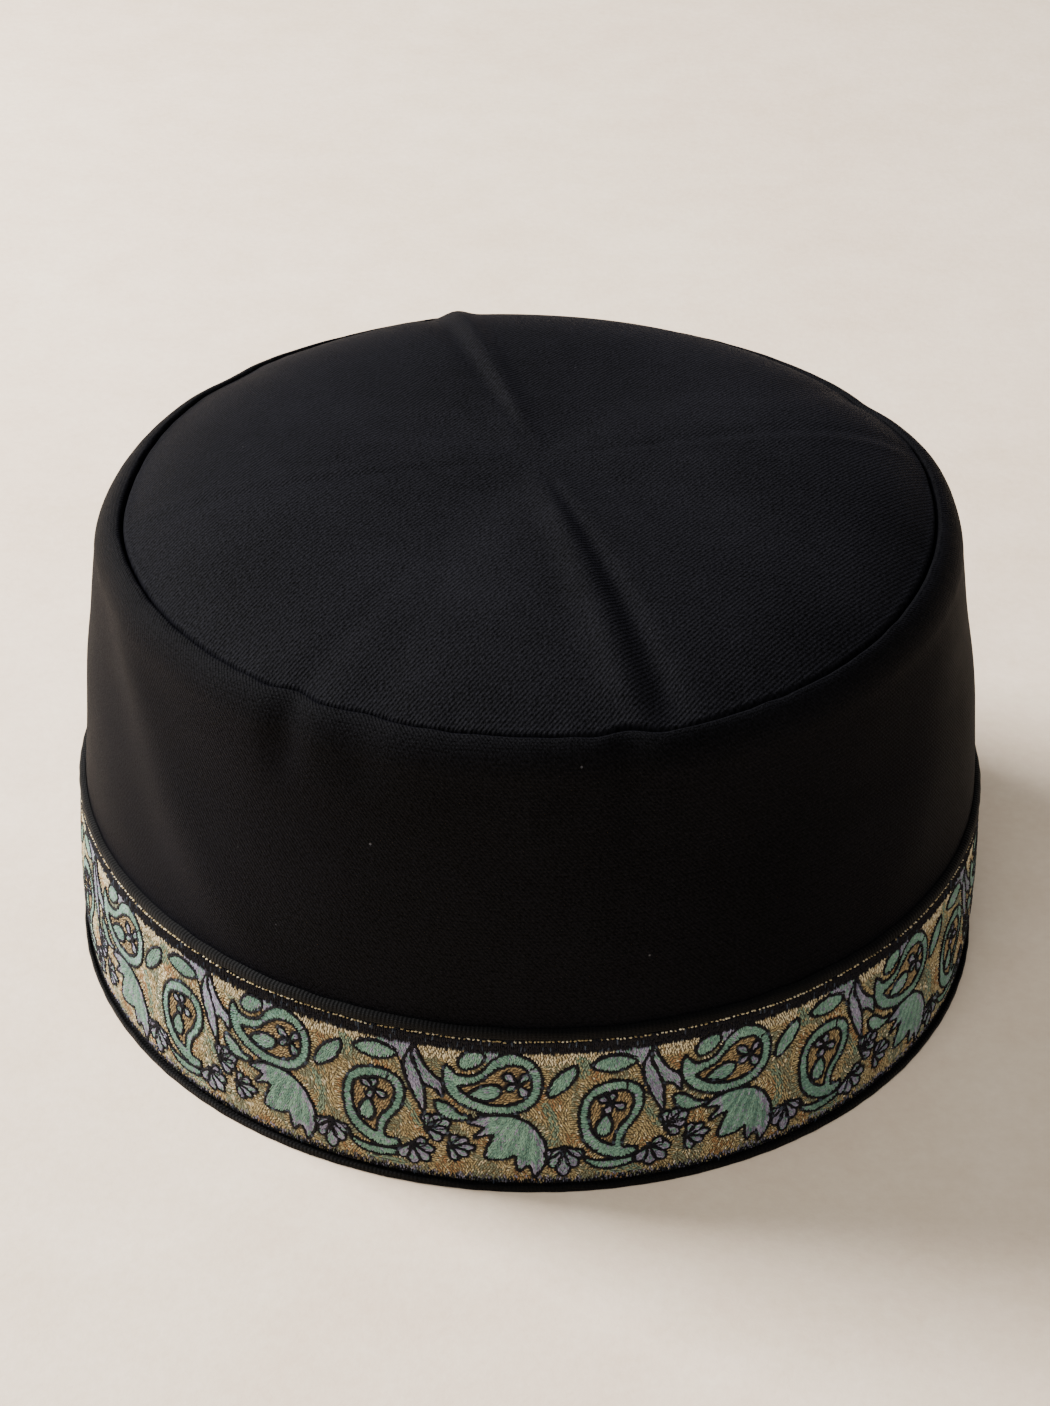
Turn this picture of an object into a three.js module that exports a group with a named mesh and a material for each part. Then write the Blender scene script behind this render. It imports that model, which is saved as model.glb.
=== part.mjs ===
// A round embroidered cloth cap with a soft domed crown, standing on its rim.
// Millimetres, +Z up. The origin is the centre of the rim on the surface that the cap stands on,
// and the front is -Y. Azimuths are in degrees from the front, growing towards +X.
import * as THREE from "three";

// Driving dimensions
const rimRadius = 94.8; // outside of the rim binding
const seamRadius = 81.6; // the seam between crown and wall
const seamHeight = 96.7;
const crownRise = 10; // centre of the crown above the seam
const wallThickness = 1.5; // cloth with its interlining
const crownThickness = 1.4;
const bandThickness = 1.2;
const bandWidth = 35;
const edgingThickness = 1.3;
const edgingWidth = 2.2;
const bindingThickness = 1.0;
const bindingFold = 2.3; // how far the binding reaches up the outside
const bindingInnerFold = 7;
const seamAllowance = 4.4; // turned down inside the seam
const seamRoll = 2.6; // radius of the turned edge of each cloth at the seam
const fit = 0.3; // clearance between pieces that touch
const seamDip = 1.4; // how much lower the seam lies at the back
const backAzimuth = 165; // degrees, the middle of that back

// Fullness of the crown: the higher it is, the further out the crown keeps its height
const frontFullness = 3.6;
const backFullness = 7;

// Shares that shape the edges of the cloths and tapes
const wallRoll = [
  { climb: 0.45, reach: 0.84 },
  { climb: 0.86, reach: 0.42 },
];
const crownEdge = 0.3; // of seamRoll
const bandLevels = [0, 0.16, 0.4, 0.7, 1]; // of bandWidth
const edgingShoulder = 0.75; // of edgingWidth
const edgingTop = { outer: 0.55, inner: 0.1 }; // of edgingThickness
const bindingBevel = 0.45; // of bindingThickness
const bindingTop = { outer: 0.7, inner: 0.1 }; // of bindingThickness

// Mesh fineness
const columns = 72;
const firstColumn = 4; // degrees, so that the creases run along columns
const crownRings = 9;
const ringCrowding = 0.75; // under 1 the rings lie closer towards the seam

// Sizes that follow from them
const bandFoot = bindingThickness + fit;
const bandFace = rimRadius - bindingThickness - fit; // outside of the band at its foot
const wallFace = bandFace - bandThickness - fit; // outside of the wall at its foot
const bandTop = bandFoot + bandWidth;
const seamFace = seamRadius + fit / 2; // the wall's side of the seam
const crownFace = seamRadius - fit / 2; // the crown's side of it

// The wall's outline from foot to seam. rise is a share of seamHeight, and flare a share of the way
// out from the seam to the foot.
const wallSections = [
  { rise: 0.0, flare: 1.0 },
  { rise: 0.05, flare: 1.06 },
  { rise: 0.11, flare: 1.09 },
  { rise: 0.22, flare: 1.08 },
  { rise: 0.32, flare: 1.03 },
  { rise: 0.42, flare: 0.98 },
  { rise: 0.54, flare: 0.89 },
  { rise: 0.66, flare: 0.76 },
  { rise: 0.77, flare: 0.62 },
  { rise: 0.86, flare: 0.55 },
  { rise: 0.925, flare: 0.49 },
];

// Soft folds of the wall, running from one azimuth at the top to another at the foot.
// depth is a share of seamHeight, outwards if positive, and the rises are shares of it too.
const wallFolds = [
  { topAzimuth: -63, footAzimuth: -36, top: 0.95, foot: 0.42, halfWidth: 6, depth: 0.012 },
  { topAzimuth: -74, footAzimuth: -47, top: 0.95, foot: 0.42, halfWidth: 8, depth: -0.01 },
  { topAzimuth: 66, footAzimuth: 50, top: 0.9, foot: 0.45, halfWidth: 8, depth: 0.007 },
  { topAzimuth: -96, footAzimuth: -96, top: 0.92, foot: 0.5, halfWidth: 12, depth: -0.012 },
  { topAzimuth: 90, footAzimuth: 94, top: 0.88, foot: 0.5, halfWidth: 12, depth: -0.009 },
  { topAzimuth: 150, footAzimuth: 138, top: 0.92, foot: 0.45, halfWidth: 10, depth: 0.009 },
  { topAzimuth: -150, footAzimuth: -140, top: 0.95, foot: 0.5, halfWidth: 10, depth: -0.008 },
];

// Gathers where the seam draws the top of the wall in. depth is a share of seamHeight.
const gathers = [
  { azimuth: -31, halfWidth: 3.5, depth: 0.011, drop: 0.1 },
  { azimuth: -21, halfWidth: 4, depth: 0.007, drop: 0.08 },
  { azimuth: 11, halfWidth: 3.5, depth: 0.01, drop: 0.12 },
  { azimuth: 124, halfWidth: 4, depth: 0.008, drop: 0.1 },
  { azimuth: -128, halfWidth: 4, depth: 0.008, drop: 0.1 },
];

// Pressed creases of the crown, each a ridge from the centre out to the seam. rise and groove are
// shares of crownRise, halfWidth and grooveOffset shares of seamRadius. The groove lies beside the
// ridge, on the side of growing azimuth.
const creases = [
  { azimuth: 14, rise: 0.2, halfWidth: 0.055, groove: 0.16, grooveOffset: 0.1 },
  { azimuth: 109, rise: 0.1, halfWidth: 0.04, groove: 0.04, grooveOffset: 0.09 },
  { azimuth: 194, rise: 0.16, halfWidth: 0.05, groove: 0.04, grooveOffset: 0.1 },
  { azimuth: 279, rise: 0.09, halfWidth: 0.045, groove: 0.03, grooveOffset: 0.09 },
];
const quarterSag = 0.07; // how far each quarter sinks between the creases, a share of crownRise

// Where the creases reach the seam they push it out a little, and between them the sides lie further
// in. swell is a share of the radius.
const seamCorners = [
  { azimuth: 70, swell: -0.04, halfWidth: 36 },
  { azimuth: -92, swell: -0.014, halfWidth: 24 },
  { azimuth: 17, swell: 0.012, halfWidth: 9 },
  { azimuth: 109, swell: 0.01, halfWidth: 10 },
  { azimuth: 194, swell: 0.016, halfWidth: 11 },
  { azimuth: 279, swell: 0.008, halfWidth: 10 },
];

const radians = THREE.MathUtils.degToRad;
const smooth = THREE.MathUtils.smoothstep;

// Signed angle from one azimuth to another, -180 to 180.
function turn(from, to) {
  return ((((to - from) % 360) + 540) % 360) - 180;
}

function bell(distance, halfWidth) {
  return Math.exp(-((distance / halfWidth) ** 2));
}

// 1 at the back of the cap and 0 opposite it.
function towardsBack(azimuth) {
  return (1 + Math.cos(radians(turn(backAzimuth, azimuth)))) / 2;
}

// Height of the seam at an azimuth.
function seamLevel(azimuth) {
  return seamHeight - seamDip * towardsBack(azimuth) ** 2;
}

// Share by which the outline swells at an azimuth, full at the seam and none at the foot.
function swell(azimuth) {
  return seamCorners.reduce((sum, c) => sum + c.swell * bell(turn(c.azimuth, azimuth), c.halfWidth), 0);
}

// How far a fold moves the wall at an azimuth and a rise.
function foldOffset(fold, azimuth, rise) {
  const along = (rise - fold.foot) / (fold.top - fold.foot);
  const middle = THREE.MathUtils.lerp(fold.footAzimuth, fold.topAzimuth, along);
  const ends = smooth(along, -0.15, 0.25) * (1 - smooth(along, 0.8, 1.15));
  return fold.depth * seamHeight * ends * bell(turn(middle, azimuth), fold.halfWidth);
}

// How far the gathers draw the wall in.
function gatherOffset(azimuth, rise) {
  return gathers.reduce((sum, g) => {
    const near = smooth(rise, 1 - 2 * g.drop, 1 - 0.5 * g.drop);
    return sum - g.depth * seamHeight * near * bell(turn(g.azimuth, azimuth), g.halfWidth);
  }, 0);
}

// A smooth curve through the wall's sections: the radius of the outside at a height.
const wallCurve = new THREE.CatmullRomCurve3(
  wallSections.map((s) => new THREE.Vector3(s.flare, s.rise, 0)),
);
const wallTrace = wallCurve.getPoints(16 * wallSections.length);

function flareAt(rise) {
  const next = wallTrace.findIndex((p) => p.y >= rise);
  if (next < 0) return wallTrace[wallTrace.length - 1].x;
  if (next === 0) return wallTrace[0].x;
  const [a, b] = [wallTrace[next - 1], wallTrace[next]];
  return THREE.MathUtils.mapLinear(rise, a.y, b.y, a.x, b.x);
}

function wallRadius(azimuth, height) {
  const rise = height / seamHeight;
  const round = seamFace + (wallFace - seamFace) * flareAt(rise);
  const moved = wallFolds.reduce((sum, f) => sum + foldOffset(f, azimuth, rise), 0);
  return round * (1 + swell(azimuth) * smooth(rise, 0.4, 1)) + moved + gatherOffset(azimuth, rise);
}

// Closed solid from one loop of [radius, height] points for each column.
function ringSolid(section) {
  const loops = Array.from({ length: columns }, (_, i) => {
    const azimuth = firstColumn + (i * 360) / columns;
    return section(azimuth).map(([r, z]) => place(azimuth, r, z));
  });
  const count = loops[0].length;
  const index = [];
  for (let i = 0; i < columns; i++)
    for (let j = 0; j < count; j++) {
      const [a, b] = [i * count + j, i * count + ((j + 1) % count)];
      const next = ((i + 1) % columns) * count;
      const [c, d] = [next + j, next + ((j + 1) % count)];
      index.push(a, d, b, a, c, d);
    }
  return geometryOf(loops.flat(), index);
}

// Closed solid from one open line of [radius, height] points for each column, between two poles.
function domeSolid(section, topPole, underPole) {
  const lines = Array.from({ length: columns }, (_, i) => {
    const azimuth = firstColumn + (i * 360) / columns;
    return section(azimuth).map(([r, z]) => place(azimuth, r, z));
  });
  const count = lines[0].length;
  const top = columns * count;
  const under = top + 1;
  const index = [];
  for (let i = 0; i < columns; i++) {
    const here = i * count;
    const next = ((i + 1) % columns) * count;
    for (let j = 0; j < count - 1; j++)
      index.push(here + j, here + j + 1, next + j + 1, here + j, next + j + 1, next + j);
    index.push(top, here, next);
    index.push(under, next + count - 1, here + count - 1);
  }
  const poles = [new THREE.Vector3(0, 0, topPole), new THREE.Vector3(0, 0, underPole)];
  return geometryOf([...lines.flat(), ...poles], index);
}

function place(azimuth, radius, height) {
  const a = radians(azimuth);
  return new THREE.Vector3(radius * Math.sin(a), -radius * Math.cos(a), height);
}

function geometryOf(points, index) {
  const geometry = new THREE.BufferGeometry().setFromPoints(points);
  geometry.setIndex(index);
  geometry.computeVertexNormals();
  return geometry;
}

// Points of a line moved sideways by a distance, to the right of the way it runs.
function besideLine(line, distance) {
  return line.map(([r, z], i) => {
    const [r0, z0] = line[Math.max(i - 1, 0)];
    const [r1, z1] = line[Math.min(i + 1, line.length - 1)];
    const length = Math.hypot(r1 - r0, z1 - z0);
    return [r + (distance * (z1 - z0)) / length, z - (distance * (r1 - r0)) / length];
  });
}

// A cloth of even thickness behind its face line.
function clothLoop(line, thickness) {
  return [...line, ...besideLine(line, -thickness).reverse()];
}

// The wall rises from the binding, rolls over the seam and turns down inside it.
function wallLoop(azimuth) {
  const foot = bandFoot;
  const shoulder = wallSections[wallSections.length - 1].rise * seamHeight;
  const levels = wallSections.map((s) => foot + (s.rise * seamHeight * (shoulder - foot)) / shoulder);
  const line = levels.map((z) => [wallRadius(azimuth, z), z]);
  const seam = seamFace * (1 + swell(azimuth)) + gatherOffset(azimuth, 1);
  const [shoulderRadius] = line[line.length - 1];
  const level = seamLevel(azimuth);
  const crest = level + seamRoll / 4;
  const reach = shoulderRadius - seam - seamRoll / 2;
  wallRoll.forEach((roll) => {
    line.push([seam + seamRoll / 2 + roll.reach * reach, shoulder + roll.climb * (crest - shoulder)]);
  });
  line.push([seam + seamRoll / 2, crest]);
  line.push([seam, level - seamRoll / 2]);
  line.push([seam, level - seamAllowance]);
  return clothLoop(line, wallThickness);
}

// Height of the crown's face above the seam, at an azimuth and a share of the way out.
function crownHeight(azimuth, share) {
  const back = towardsBack(azimuth);
  const fullness = THREE.MathUtils.lerp(frontFullness, backFullness, back);
  const dome = crownRise * (1 - share ** fullness) - seamDip * back ** 2 * share ** 3;
  const quarter = creases.map((c) => Math.abs(turn(c.azimuth, azimuth))).sort((a, b) => a - b)[0];
  const sag = quarterSag * crownRise * smooth(quarter, 8, 45) * Math.sin(Math.PI * share);
  const ridges = creases.reduce((sum, c) => {
    const angle = radians(turn(c.azimuth, azimuth));
    const ahead = Math.cos(angle) > 0 ? 1 : 0;
    const across = share * Math.sin(angle);
    const ridge = c.rise * bell(across, c.halfWidth);
    const groove = c.groove * bell(across - c.grooveOffset, c.halfWidth);
    return sum + crownRise * ahead * (ridge - groove) * smooth(share, 0.02, 0.3);
  }, 0);
  return dome - sag + ridges * (1 - 0.5 * smooth(share, 0.9, 1));
}

// The crown's face from near the centre out to the seam, then down inside the wall's turned edge.
function crownLoop(azimuth) {
  const seam = crownFace * (1 + swell(azimuth)) + gatherOffset(azimuth, 1);
  const flat = seam - seamRoll;
  const line = [];
  const level = seamLevel(azimuth);
  for (let i = 1; i <= crownRings; i++) {
    const share = (i / crownRings) ** ringCrowding;
    line.push([flat * share, seamHeight + crownHeight(azimuth, share * (flat / seam))]);
  }
  line.push([seam - seamRoll * crownEdge, level]);
  line.push([seam, level - seamRoll / 2]);
  line.push([seam, level - seamAllowance]);
  return [...line, ...besideLine(line, crownThickness).reverse()];
}

// The band follows the wall at its clearance.
function bandLoop(azimuth) {
  const levels = bandLevels.map((share) => bandFoot + share * bandWidth);
  const inner = levels.map((z) => [wallRadius(azimuth, z) + fit, z]);
  const outer = inner.map(([r, z]) => [r + bandThickness, z]);
  return [...outer, ...inner.reverse()];
}

// The folded tape above the band, with a rounded upper edge.
function edgingLoop(azimuth) {
  const foot = bandTop + fit;
  const inner = [0, edgingShoulder].map((share) => {
    const z = foot + share * edgingWidth;
    return [wallRadius(azimuth, z) + fit, z];
  });
  const [[r0, z0], [r1, z1]] = inner;
  return [
    [r0 + edgingThickness, z0],
    [r1 + edgingThickness, z1],
    [r1 + edgingThickness * edgingTop.outer, foot + edgingWidth],
    [r1 + edgingThickness * edgingTop.inner, foot + edgingWidth],
    [r1, z1],
    [r0, z0],
  ];
}

// The binding folds round the foot of wall and band.
function bindingLoop(azimuth) {
  const outside = wallRadius(azimuth, bandFoot) + fit + bandThickness + fit;
  const inside = wallRadius(azimuth, bandFoot) - wallThickness - fit;
  const edge = bindingThickness * bindingBevel;
  return [
    [outside, bindingThickness],
    [outside, bindingFold],
    [outside + bindingThickness * bindingTop.outer, bindingFold],
    [outside + bindingThickness, bindingThickness],
    [outside + bindingThickness - edge, 0],
    [inside - bindingThickness + edge, 0],
    [inside - bindingThickness, bindingThickness],
    [inside - bindingThickness, bindingInnerFold],
    [inside - bindingThickness * bindingTop.inner, bindingInnerFold],
    [inside, bindingThickness],
  ].reverse();
}

function piece(name, geometry, color, roughness) {
  const material = new THREE.MeshStandardMaterial({ color, roughness, metalness: 0 });
  const mesh = new THREE.Mesh(geometry, material);
  mesh.name = name;
  return mesh;
}

const blackWool = 0x1b1a1d;
const blackTape = 0x121214;
const embroidery = 0x8f8a63;

const crownCentre = seamHeight + crownHeight(firstColumn, 0);

const cap = new THREE.Group();
cap.add(
  piece("crown_panel", domeSolid(crownLoop, crownCentre, crownCentre - crownThickness), blackWool, 0.85),
  piece("side_wall", ringSolid(wallLoop), blackWool, 0.85),
  piece("embroidered_band", ringSolid(bandLoop), embroidery, 0.7),
  piece("band_edging", ringSolid(edgingLoop), blackTape, 0.75),
  piece("rim_binding", ringSolid(bindingLoop), blackTape, 0.75),
);

export default cap;
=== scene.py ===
import bpy
import numpy as np
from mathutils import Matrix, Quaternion, Vector


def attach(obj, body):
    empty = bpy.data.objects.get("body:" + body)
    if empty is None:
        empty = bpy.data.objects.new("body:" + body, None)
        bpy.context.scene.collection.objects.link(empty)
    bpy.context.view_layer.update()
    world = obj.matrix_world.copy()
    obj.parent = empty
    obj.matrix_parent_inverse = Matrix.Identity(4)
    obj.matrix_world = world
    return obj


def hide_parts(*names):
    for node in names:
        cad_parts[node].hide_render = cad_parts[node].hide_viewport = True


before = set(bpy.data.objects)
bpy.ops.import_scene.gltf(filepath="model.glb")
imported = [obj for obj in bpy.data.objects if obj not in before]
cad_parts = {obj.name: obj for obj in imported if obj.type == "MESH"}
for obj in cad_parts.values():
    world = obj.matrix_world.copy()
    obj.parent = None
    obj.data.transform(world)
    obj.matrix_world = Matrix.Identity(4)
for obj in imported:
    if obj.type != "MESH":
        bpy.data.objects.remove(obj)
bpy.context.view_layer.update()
print("frame loaded")

mm = 0.001  # the tables below are in millimetres, Blender works in metres
luck = np.random.default_rng(17)

# sizes of the cap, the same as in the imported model
cap = {
    "rimRadius": 94.8, "seamRadius": 81.6, "seamHeight": 96.7, "crownRise": 10.0,
    "wallThickness": 1.5, "crownThickness": 1.4, "bandThickness": 1.2, "bandWidth": 35.0,
    "edgingThickness": 1.3, "edgingWidth": 2.2, "bindingThickness": 1.0, "bindingFold": 2.3,
    "bindingInnerFold": 7.0, "seamAllowance": 4.4, "fit": 0.3,
    "seamDip": 1.4, "backAzimuth": 165, "frontFullness": 3.6, "backFullness": 7.0,
}
bandFoot = cap["bindingThickness"] + cap["fit"]
bandFace = cap["rimRadius"] - cap["bindingThickness"] - cap["fit"]
wallFace = bandFace - cap["bandThickness"] - cap["fit"]
bandTop = bandFoot + cap["bandWidth"]
seamFace = cap["seamRadius"] + cap["fit"] / 2
crownFace = cap["seamRadius"] - cap["fit"] / 2


def turn(start, end):
    # signed angle in degrees from one azimuth to another
    return (end - start + 180) % 360 - 180


def smoothStep(value, low, high):
    # 0 below low and 1 above high: three times the share's square less twice its cube
    share = np.clip((value - low) / (high - low), 0, 1)
    return share * share * (3 - 2 * share)


def bell(distance, halfWidth):
    # e to the power of minus the square of the distance in half widths
    return np.exp(-(distance / halfWidth) ** 2)


def smoothThrough(x, xs, ys):
    # cubic Hermite curve through the points, each slope taken from its neighbours
    xs = np.asarray(xs, float)
    ys = np.asarray(ys, float)
    slopes = np.gradient(ys, xs)
    x = np.clip(x, xs[0], xs[-1])
    i = np.clip(np.searchsorted(xs, x) - 1, 0, len(xs) - 2)
    gap = xs[i + 1] - xs[i]
    t = (x - xs[i]) / gap
    rise = ys[i] * (2 * t ** 3 - 3 * t ** 2 + 1) + ys[i + 1] * (3 * t ** 2 - 2 * t ** 3)
    return rise + gap * (slopes[i] * (t ** 3 - 2 * t ** 2 + t) + slopes[i + 1] * (t ** 3 - t ** 2))


def smoothOutline(corners, steps=5):
    # closed curve through the corners: a Catmull-Rom blend of four neighbours at each step
    p = np.asarray(corners, float)[:, None]
    before, after, beyond = np.roll(p, 1, 0), np.roll(p, -1, 0), np.roll(p, -2, 0)
    t = np.linspace(0, 1, steps, endpoint=False)[None, :, None]
    line = p * (1 - 2.5 * t ** 2 + 1.5 * t ** 3) + after * (0.5 * t + 2 * t ** 2 - 1.5 * t ** 3)
    line = line + before * (-0.5 * t + t ** 2 - 0.5 * t ** 3) + beyond * (-0.5 * t ** 2 + 0.5 * t ** 3)
    return line.reshape(-1, 2)


def ripple(azimuth, waves, amplitude, seed):
    # sum of sines round the cap, each with its own count, phase and share
    own = np.random.default_rng(seed)
    total = 0
    for count in waves:
        total = total + own.uniform(0.4, 1) * np.sin(np.radians(azimuth * count) + own.uniform(0, 6.3))
    return amplitude * total / len(waves) ** 0.5


wall = {
    "rise": [0.0, 0.05, 0.11, 0.22, 0.32, 0.42, 0.54, 0.66, 0.77, 0.86, 0.925],
    "flare": [1.0, 1.06, 1.09, 1.08, 1.03, 0.98, 0.89, 0.76, 0.62, 0.55, 0.49],
    "columns": 520,
    "wave": 0.16,  # slow unevenness of the cloth
    "pucker": 0.13,  # small gathers all along the seam
    "steps": 46, "rollSteps": 14, "rollPower": 1.3,
    "crest": 0.2, "crestWave": 0.12, "lip": 0.9,  # the roll's top, and its gap to the seam
    "hemIn": [0.35, 0.72, 0.95, 1.0, 1.0], "hemDown": [0.12, 0.55, 1.25, 2.4], "hemReach": 0.8,
    # top azimuth, foot azimuth, top, foot, half width, depth
    "folds": [
        (-63, -36, 0.95, 0.42, 7, 0.009), (-74, -47, 0.95, 0.42, 9, -0.008),
        (66, 50, 0.90, 0.45, 8, 0.007), (-96, -96, 0.92, 0.50, 12, -0.003),
        (90, 94, 0.88, 0.50, 12, -0.003), (150, 138, 0.92, 0.45, 10, 0.009),
        (-150, -140, 0.95, 0.50, 10, -0.008), (-95, -95, 1.20, 0.60, 28, 0.012),
        (88, 88, 1.20, 0.60, 24, 0.006),
    ],
    # azimuth, half width, depth, drop
    "gathers": [
        (-31, 2.6, 0.014, 0.10), (-21, 3.4, 0.009, 0.08), (12, 2.6, 0.015, 0.13),
        (124, 4, 0.008, 0.10), (-128, 4, 0.008, 0.10),
    ],
}

crown = {
    "columns": 520,
    "rings": 56,
    "spacing": 0.8,  # power that sets the rings closer at the seam
    "quarterSag": 0.07,
    "wave": 0.10, "pucker": 0.09,
    "edge": 1.0, "edgeDrop": 1.3, "edgeAngles": [25, 50, 72, 90], "tuck": 2.3,  # how the cloth turns down
    # azimuth, rise, half width, groove, groove's half width, groove offset
    "creases": [
        (13, 0.15, 0.046, 0.11, 0.036, 0.095), (104, 0.018, 0.026, 0.026, 0.030, 0.050),
        (194, 0.12, 0.036, 0.06, 0.030, 0.070), (279, 0.016, 0.026, 0.022, 0.026, 0.055),
    ],
    # azimuth, swell, half width
    "corners": [
        (70, -0.040, 36), (-92, -0.014, 24), (17, 0.012, 9),
        (109, 0.010, 10), (194, 0.016, 11), (279, 0.008, 10),
    ],
}


def towardsBack(azimuth):
    # 1 at the back of the cap and 0 opposite it, on a cosine
    return (1 + np.cos(np.radians(turn(cap["backAzimuth"], azimuth)))) / 2


def seamLevel(azimuth):
    # height of the seam: a little lower at the back, by the square of the share towards it
    return cap["seamHeight"] - cap["seamDip"] * towardsBack(azimuth) ** 2


def swell(azimuth):
    # share by which the outline swells where the creases reach the seam
    return sum(size * bell(turn(at, azimuth), width) for at, size, width in crown["corners"])


def foldOffset(azimuth, rise):
    # sum of the folds: each its depth times a bell across its slanting line, with smooth steps at its ends
    total = 0
    for topAt, footAt, top, foot, width, depth in wall["folds"]:
        along = (rise - foot) / (top - foot)
        middle = footAt + (topAt - footAt) * along
        ends = smoothStep(along, -0.15, 0.25) * (1 - smoothStep(along, 0.8, 1.15))
        total = total + depth * cap["seamHeight"] * ends * bell(turn(middle, azimuth), width)
    return total


def gatherOffset(azimuth, rise):
    # each gather takes off its depth times a bell round it, by a smooth step up towards the seam
    total = 0
    for at, width, depth, drop in wall["gathers"]:
        near = smoothStep(rise, 1 - 2 * drop, 1 - 0.5 * drop)
        total = total - depth * cap["seamHeight"] * near * bell(turn(at, azimuth), width)
    return total


def wallRadius(azimuth, height):
    # the seam's radius plus the flare's share of the way to the foot's, times one plus the corners' swell,
    # plus the folds, less the gathers, plus a slow ripple
    rise = height / cap["seamHeight"]
    flare = smoothThrough(rise, wall["rise"], wall["flare"])
    even = seamFace + (wallFace - seamFace) * flare
    even = even * (1 + swell(azimuth) * smoothStep(rise, 0.6, 1.05))
    slow = ripple(azimuth + 40 * rise, (5, 9, 14), wall["wave"], 3) * smoothStep(rise, 0.42, 0.6)
    return even + foldOffset(azimuth, rise) + gatherOffset(azimuth, rise) + slow


def crownHeight(azimuth, share):
    # the rise times one less the share to the power of its fullness, less the dip at the back and the sine
    # of the quarters' sag, plus for each crease a ridge's bell less its groove's bell
    rise = cap["crownRise"]
    back = towardsBack(azimuth)
    fullness = cap["frontFullness"] + (cap["backFullness"] - cap["frontFullness"]) * back
    dome = rise * (1 - share ** fullness) - cap["seamDip"] * back ** 2 * share ** 3
    nearest = np.min([np.abs(turn(c[0], azimuth)) + 0 * share for c in crown["creases"]], axis=0)
    sag = crown["quarterSag"] * rise * smoothStep(nearest, 8, 45) * np.sin(np.pi * share)
    ridges = 0
    for at, ridge, width, groove, grooveWidth, offset in crown["creases"]:
        angle = np.radians(turn(at, azimuth))
        across = share * np.sin(angle)
        valleyWidth = grooveWidth * (0.5 + 0.7 * share)
        form = ridge * bell(across, width) - groove * bell(across - offset * share, valleyWidth)
        ridges = ridges + rise * smoothStep(np.cos(angle), 0, 0.2) * form * smoothStep(share, 0.02, 0.3)
    slow = ripple(azimuth, (3, 5, 8), crown["wave"], 8) * np.sin(np.pi * share)
    return dome - sag + ridges * (1 - 0.5 * smoothStep(share, 0.9, 1)) + slow


def puckers(azimuth):
    # small uneven gathers that the seam's stitches leave: a sum of four quick sines
    return ripple(azimuth, (41, 57, 68, 83), 1.0, 5)


def place(azimuth, radius, height):
    # x is the radius times the azimuth's sine and y minus the radius times its cosine, so 0 is the front
    angle = np.radians(azimuth)
    return np.stack([radius * np.sin(angle), -radius * np.cos(angle), height + 0 * angle], -1)


def meshPiece(name, points, quads, triangles=None, maps=None, colours=None):
    # one mesh from whole arrays: points, four-cornered and three-cornered faces, a map and colours
    triangles = np.zeros((0, 3), int) if triangles is None else triangles
    corners = np.concatenate([quads.ravel(), triangles.ravel()])
    starts = np.concatenate([np.arange(len(quads)) * 4, len(quads) * 4 + np.arange(len(triangles)) * 3])
    mesh = bpy.data.meshes.new(name)
    mesh.vertices.add(len(points))
    mesh.vertices.foreach_set("co", (points * mm).astype(np.float32).ravel())
    mesh.loops.add(len(corners))
    mesh.loops.foreach_set("vertex_index", corners.astype(np.int32))
    mesh.polygons.add(len(starts))
    mesh.polygons.foreach_set("loop_start", starts.astype(np.int32))
    mesh.update(calc_edges=True)
    mesh.polygons.foreach_set("use_smooth", np.ones(len(starts), bool))
    if maps is not None:
        layer = mesh.uv_layers.new(name="clothMap")
        layer.data.foreach_set("uv", (maps * mm).astype(np.float32).ravel())
    if colours is not None:
        layer = mesh.attributes.new("threadColour", "FLOAT_COLOR", "POINT")
        rgba = np.concatenate([colours, np.ones((len(colours), 1))], 1)
        layer.data.foreach_set("color", rgba.astype(np.float32).ravel())
    mesh.validate()
    piece = bpy.data.objects.new(name, mesh)
    bpy.context.scene.collection.objects.link(piece)
    return piece


def gridFaces(columns, rows, closedRows, upward=True):
    # quads of a grid that closes round the cap, and the same quads numbered without the closing
    i = np.arange(columns)[:, None]
    j = np.arange(rows if closedRows else rows - 1)[None]
    right, up = (i + 1) % columns, (j + 1) % rows
    faces = [i * rows + j, right * rows + j, right * rows + up, i * rows + up]
    corner = i * (rows + 1) + j
    flat = [corner, corner + rows + 1, corner + rows + 2, corner + 1]
    faces = np.stack(np.broadcast_arrays(*faces), -1).reshape(-1, 4)
    flat = np.stack(np.broadcast_arrays(*flat), -1).reshape(-1, 4)
    return (faces, flat) if upward else (faces[:, ::-1], flat[:, ::-1])


def ringPiece(name, azimuth, radius, height, colours=None):
    # closed ring: a closed loop of radius and height for each azimuth, mapped by its lengths
    columns, rows = radius.shape
    points = place(azimuth[:, None], radius, height).reshape(-1, 3)
    faces, flat = gridFaces(columns, rows, True)
    steps = np.hypot(np.diff(radius, append=radius[:, :1]), np.diff(height, append=height[:, :1]))
    length = np.concatenate([[0], np.cumsum(steps.mean(0))])
    turns = np.radians(azimuth[0] + np.arange(columns + 1) * 360 / columns) * radius.mean()
    grid = np.stack(np.broadcast_arrays(turns[:, None], length[None]), -1).reshape(-1, 2)
    return meshPiece(name, points, faces, maps=grid[flat].reshape(-1, 2), colours=colours)


def besideLine(radius, height, distance):
    # the same line moved sideways by a distance, to the right of the way it runs
    dr, dz = np.gradient(radius, axis=1), np.gradient(height, axis=1)
    length = np.hypot(dr, dz)
    return radius + distance * dz / length, height - distance * dr / length


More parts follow.
